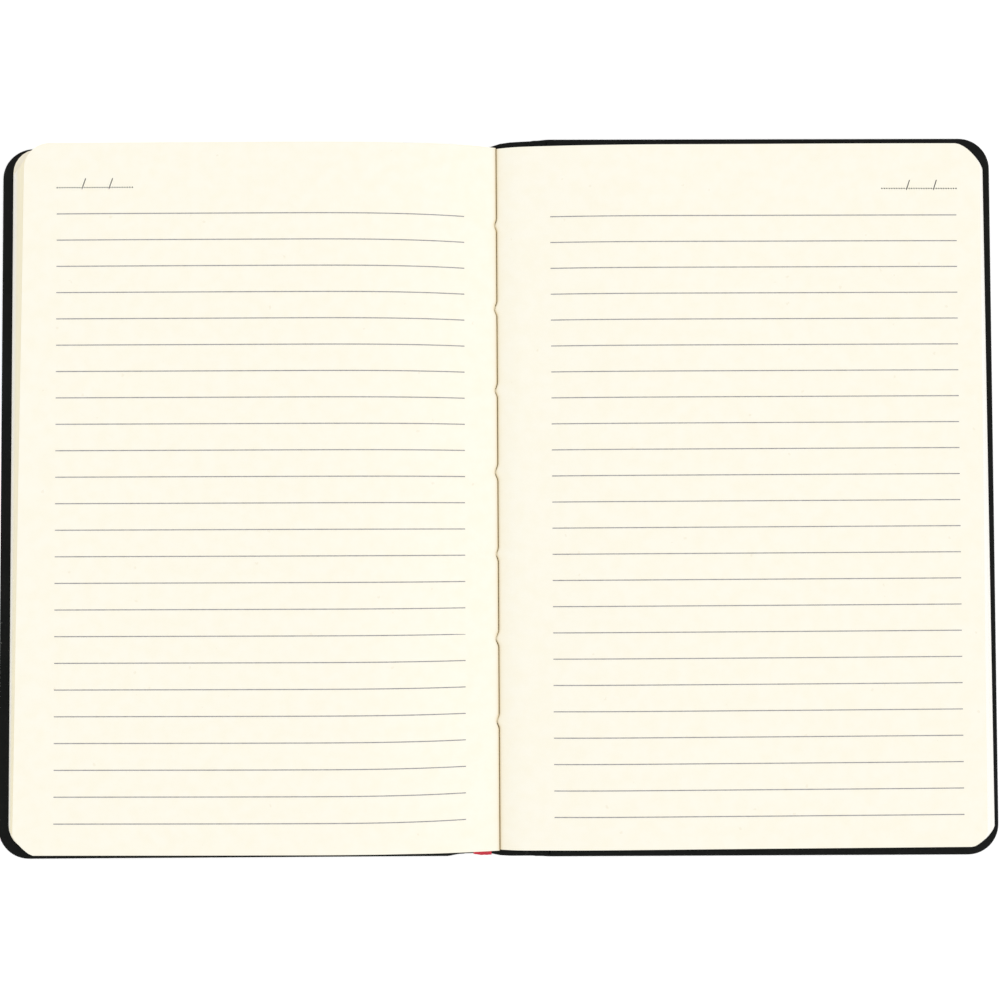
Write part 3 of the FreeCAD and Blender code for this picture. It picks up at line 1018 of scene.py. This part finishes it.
def read_mark(tree, name, output="Fac"):
    """The value of a mesh attribute."""
    return add_node(tree, "Attribute", {"attribute_name": name}).outputs[output]


def rest_place(tree):
    """Where the surface is at rest, which doesn't change as the piece bends."""
    return read_mark(tree, "rest", "Vector")


def object_place(tree):
    """Object coordinates, for a piece that keeps its shape."""
    return add_node(tree, "TexCoord").outputs["Object"]


def place_group(tree, group, place, **values):
    """The outputs of a group placed in a material, with its own values."""
    return add_node(tree, "Group", {"node_tree": group}, {"Vector": place, **values}).outputs


def bump(tree, height, distance, strength):
    """A normal bent by a height, whose full step is a distance in millimetres."""
    inputs = {"Height": height, "Distance": distance * MM, "Strength": strength}
    return add_node(tree, "Bump", inputs=inputs).outputs["Normal"]


def dress(tree, shader, colour, roughness, normal):
    """Leads the three patterns of a surface to its shader."""
    tree.links.new(colour, shader["Base Color"])
    tree.links.new(roughness, shader["Roughness"])
    tree.links.new(normal, shader["Normal"])


def page_material():
    """Cream writing paper: mottled and flecked on its faces, striped leaf by leaf on its edges.

    The stripes are a noise over the leaf's place in the stack, and the front's edges are warmer,
    partly the edge paper's own tone and partly painted shade. Beside the fold the paper takes a
    painted warm shade, and at the fold itself the painted brown shade of its crevice.
    """
    material, tree, shader = new_material("page_paper", Specular_IOR_Level=0.25)
    place = rest_place(tree)
    creams = {"First": linear(255, 251, 236), "Second": linear(254, 249, 231)}
    tone = place_group(tree, soft_mottle, place, Scale=260.0, **creams)["Color"]
    fleck = place_group(tree, scattered_specks, place, Scale=260.0, Size=0.1, Share=0.12)["Mask"]
    flecked = mix_colours(tree, scaled(tree, fleck, 0.3), tone, linear(238, 226, 200))
    leaf = read_mark(tree, "leaf")
    stripe = add_node(
        tree,
        "TexNoise",
        {"noise_dimensions": "1D"},
        {"W": leaf, "Scale": 42.0, "Detail": 5.0, "Roughness": 0.8},
    )
    stripes = stretched(tree, stripe.outputs["Fac"], 0.36, 0.64)
    # Lit and shaded tones of the same edges: the front's warmth, more on the upper leaves, is
    # partly the edge paper's own tone and partly painted shade on the fore-edge that faces away
    # from the lamp
    lit_pale_edge = mix_colours(tree, stripes, linear(255, 254, 250), linear(255, 251, 240))
    shaded_warm_edge = mix_colours(tree, stripes, linear(255, 251, 228), linear(255, 243, 210))
    upwards = stretched(tree, leaf, 0.1, 0.45)
    edge_shade_warmth = calculated(tree, "MULTIPLY", upwards, read_mark(tree, "warm"))
    edge_tone = mix_colours(tree, edge_shade_warmth, lit_pale_edge, shaded_warm_edge)
    sided = mix_colours(tree, read_mark(tree, "edge"), flecked, edge_tone)
    # Painted shade: a warm, darker tone beside the fold
    fold_side_shade = scaled(tree, read_mark(tree, "fold_side_shade"), 0.5)
    side_shaded = mix_colours(tree, fold_side_shade, sided, linear(252, 238, 204))
    # Painted shade: the brown of the fold's crevice
    fold = scaled(tree, read_mark(tree, "fold"), 0.9)
    colour = mix_colours(tree, fold, side_shaded, linear(214, 194, 150))
    fibres = place_group(tree, matted_fibres, place, Scale=1800.0)["Height"]
    dress(tree, shader, colour, scaled(tree, fibres, 0.12, 0.74), bump(tree, fibres, 0.02, 0.35))
    return material


def ink_material():
    """Grey printing ink, paler in places, with the paper's fibres in it, and near black dots."""
    material, tree, shader = new_material("page_ink", Specular_IOR_Level=0.3)
    place = rest_place(tree)
    greys = {"First": linear(140, 139, 144), "Second": linear(166, 164, 166)}
    tone = place_group(tree, soft_mottle, place, Scale=900.0, **greys)["Color"]
    colour = mix_colours(tree, read_mark(tree, "heavy"), tone, linear(44, 40, 44))
    fibres = place_group(tree, matted_fibres, place, Scale=1800.0)["Height"]
    dress(tree, shader, colour, scaled(tree, fibres, 0.1, 0.6), bump(tree, fibres, 0.01, 0.3))
    return material


def leatherette_material():
    """Black leatherette: fine pressed grain, dust specks, and rubbed edges that are paler."""
    material, tree, shader = new_material("black_leatherette", Specular_IOR_Level=0.1)
    place = rest_place(tree)
    blacks = {"First": linear(13, 15, 13), "Second": linear(19, 20, 19)}
    tone = place_group(tree, soft_mottle, place, Scale=160.0, **blacks)["Color"]
    scuffs = stretched(tree, noise(tree, place, 420.0, 8.0, Roughness=0.75), 0.58, 0.72)
    rubbed = calculated(tree, "MULTIPLY", scuffs, read_mark(tree, "rim"))
    worn = mix_colours(tree, scaled(tree, rubbed, 0.4), tone, linear(66, 66, 62))
    dust = place_group(tree, scattered_specks, place, Scale=420.0, Size=0.07, Share=0.12)["Mask"]
    dusted = mix_colours(tree, scaled(tree, dust, 0.5), worn, linear(104, 108, 102))
    grain = place_group(tree, pressed_grain, place, Scale=2200.0)["Height"]
    dress(tree, shader, dusted, scaled(tree, grain, 0.15, 0.6), bump(tree, grain, 0.06, 0.5))
    return material


def plain_paper_material(name, first, second, scale, rough, place_of, flecked=False):
    """Uncoated paper or board: matted fibres, patches of a second tone, dark flecks if asked."""
    material, tree, shader = new_material(name, Specular_IOR_Level=0.25)
    place = place_of(tree)
    tone = place_group(tree, soft_mottle, place, Scale=scale, First=first, Second=second)
    colour = tone["Color"]
    if flecked:
        fleck = place_group(tree, scattered_specks, place, Scale=650.0, Size=0.16, Share=0.3)
        colour = mix_colours(tree, scaled(tree, fleck["Mask"], 0.6), colour, linear(84, 80, 76))
    fibres = place_group(tree, matted_fibres, place, Scale=1300.0)["Height"]
    dress(tree, shader, colour, scaled(tree, fibres, 0.12, rough), bump(tree, fibres, 0.03, 0.4))
    return material


def ribbon_material():
    """Red satin ribbon with fine threads and a soft sheen."""
    material, tree, shader = new_material(
        "red_ribbon", Specular_IOR_Level=0.4, Sheen_Weight=0.3, Sheen_Roughness=0.4
    )
    place = rest_place(tree)
    reds = {"First": linear(222, 38, 64), "Second": linear(204, 30, 54)}
    tone = place_group(tree, soft_mottle, place, Scale=700.0, **reds)["Color"]
    weave = place_group(tree, plain_weave, place, Across=26000.0, Along=15000.0)["Height"]
    shaded = mix_colours(tree, scaled(tree, weave, 0.5), linear(188, 24, 46), tone)
    dress(tree, shader, shaded, scaled(tree, weave, -0.15, 0.55), bump(tree, weave, 0.04, 0.6))
    return material


def glue_material():
    """Dried white glue, slightly glossy and uneven, with dark specks in it."""
    material, tree, shader = new_material(
        "binding_glue", Specular_IOR_Level=0.5, Coat_Weight=0.25, Coat_Roughness=0.3
    )
    place = rest_place(tree)
    whites = {"First": linear(240, 236, 222), "Second": linear(214, 204, 178)}
    tone = place_group(tree, soft_mottle, place, Scale=700.0, **whites)
    lumps = tone["Mask"]
    speck = place_group(tree, scattered_specks, place, Scale=1500.0, Size=0.2, Share=0.25)
    specked = mix_colours(tree, speck["Mask"], tone["Color"], linear(96, 84, 66))
    dress(tree, shader, specked, scaled(tree, lumps, 0.2, 0.35), bump(tree, lumps, 0.1, 0.5))
    return material


def gauze_material():
    """Open cotton gauze stiffened with glue."""
    material, tree, shader = new_material("binding_gauze", Specular_IOR_Level=0.3)
    place = object_place(tree)
    weave = place_group(tree, plain_weave, place, Across=5200.0, Along=5200.0)["Height"]
    threads = stretched(tree, weave, 0.45, 0.9)
    colour = mix_colours(tree, threads, linear(190, 180, 156), linear(238, 234, 222))
    dress(tree, shader, colour, scaled(tree, threads, 0.3, 0.55), bump(tree, weave, 0.15, 0.7))
    return material


def floor_material():
    """White floor that the camera and glossy rays see as white, and that keeps the shadow."""
    material, tree, shader = new_material(
        "white_floor",
        Roughness=0.9,
        Specular_IOR_Level=0.0,
        Base_Color=(0.8, 0.8, 0.8, 1),
        Emission_Color=(1, 1, 1, 1),
    )
    path = add_node(tree, "LightPath").outputs
    seen = calculated(tree, "MAXIMUM", path["Is Camera Ray"], path["Is Glossy Ray"])
    seen = calculated(tree, "MAXIMUM", seen, path["Is Transmission Ray"])
    tree.links.new(scaled(tree, seen, 0.42), shader["Emission Strength"])
    return material


page_paper = page_material()
page_ink = ink_material()
leatherette = leatherette_material()
lining_paper = plain_paper_material(
    "pastedown_paper",
    linear(247, 241, 224),
    linear(242, 234, 214),
    scale=130.0,
    rough=0.75,
    place_of=rest_place,
)
spine_card = plain_paper_material(
    "spine_card",
    linear(196, 184, 160),
    linear(182, 169, 144),
    scale=200.0,
    rough=0.78,
    place_of=object_place,
)
greyboard = plain_paper_material(
    "greyboard",
    linear(150, 144, 134),
    linear(128, 122, 113),
    scale=260.0,
    rough=0.8,
    place_of=object_place,
    flecked=True,
)

for half, ruling in ((FRONT, FRONT_RULING), (BACK, BACK_RULING)):
    page_block(half, page_paper)
    printed_ruling(half, ruling, page_ink)
    cover_skin(half, leatherette)
    joint_skin(half, leatherette)
    pastedown(half, lining_paper)
spine_skin(leatherette)
ribbon(ribbon_material())
glue_beads(glue_material())

node_materials = {
    "front_board": greyboard,
    "back_board": greyboard,
    "spine_strip": greyboard,
    "spine_lining": spine_card,
    "spine_gauze": gauze_material(),
}
for name, material in node_materials.items():
    for material_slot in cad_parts[name].material_slots:
        material_slot.material = material

# The floor in metres, a hair under the book so that the two don't share a plane
FLOOR_REACH = 9
FLOOR_DROP = 0.00005
floor_corners = np.array([[-1, -1, 0], [1, -1, 0], [1, 1, 0], [-1, 1, 0]]) * FLOOR_REACH
floor_mesh = bpy.data.meshes.new("white_floor")
floor_mesh.from_pydata((floor_corners - [0, 0, FLOOR_DROP]).tolist(), [], [(0, 1, 2, 3)])
floor_mesh.materials.append(floor_material())
floor = put_in_scene("white_floor", floor_mesh)

world = bpy.data.worlds.new("soft_studio")
bpy.context.scene.world = world
world.use_nodes = True
background = world.node_tree.nodes["Background"].inputs
background["Color"].default_value = (1, 1, 1, 1)
background["Strength"].default_value = 0.89

lamp = bpy.data.lights.new("soft_window", "SUN")
lamp.energy = 0.5
lamp.angle = math.radians(35)
window = put_in_scene("soft_window", lamp)
window.rotation_euler = Euler((math.radians(8), math.radians(42), 0))

lens = bpy.data.cameras.new("overhead_camera")
lens.lens = 48.19
lens.sensor_width = 36
lens.clip_start = 0.01
camera = put_in_scene("overhead_camera", lens)
camera.location = (-0.001294, -0.013142, 0.394338)
camera.rotation_euler = Euler((0.03, -0.0046, -0.0035))
bpy.context.scene.camera = camera
bpy.context.scene.view_settings.view_transform = "Standard"
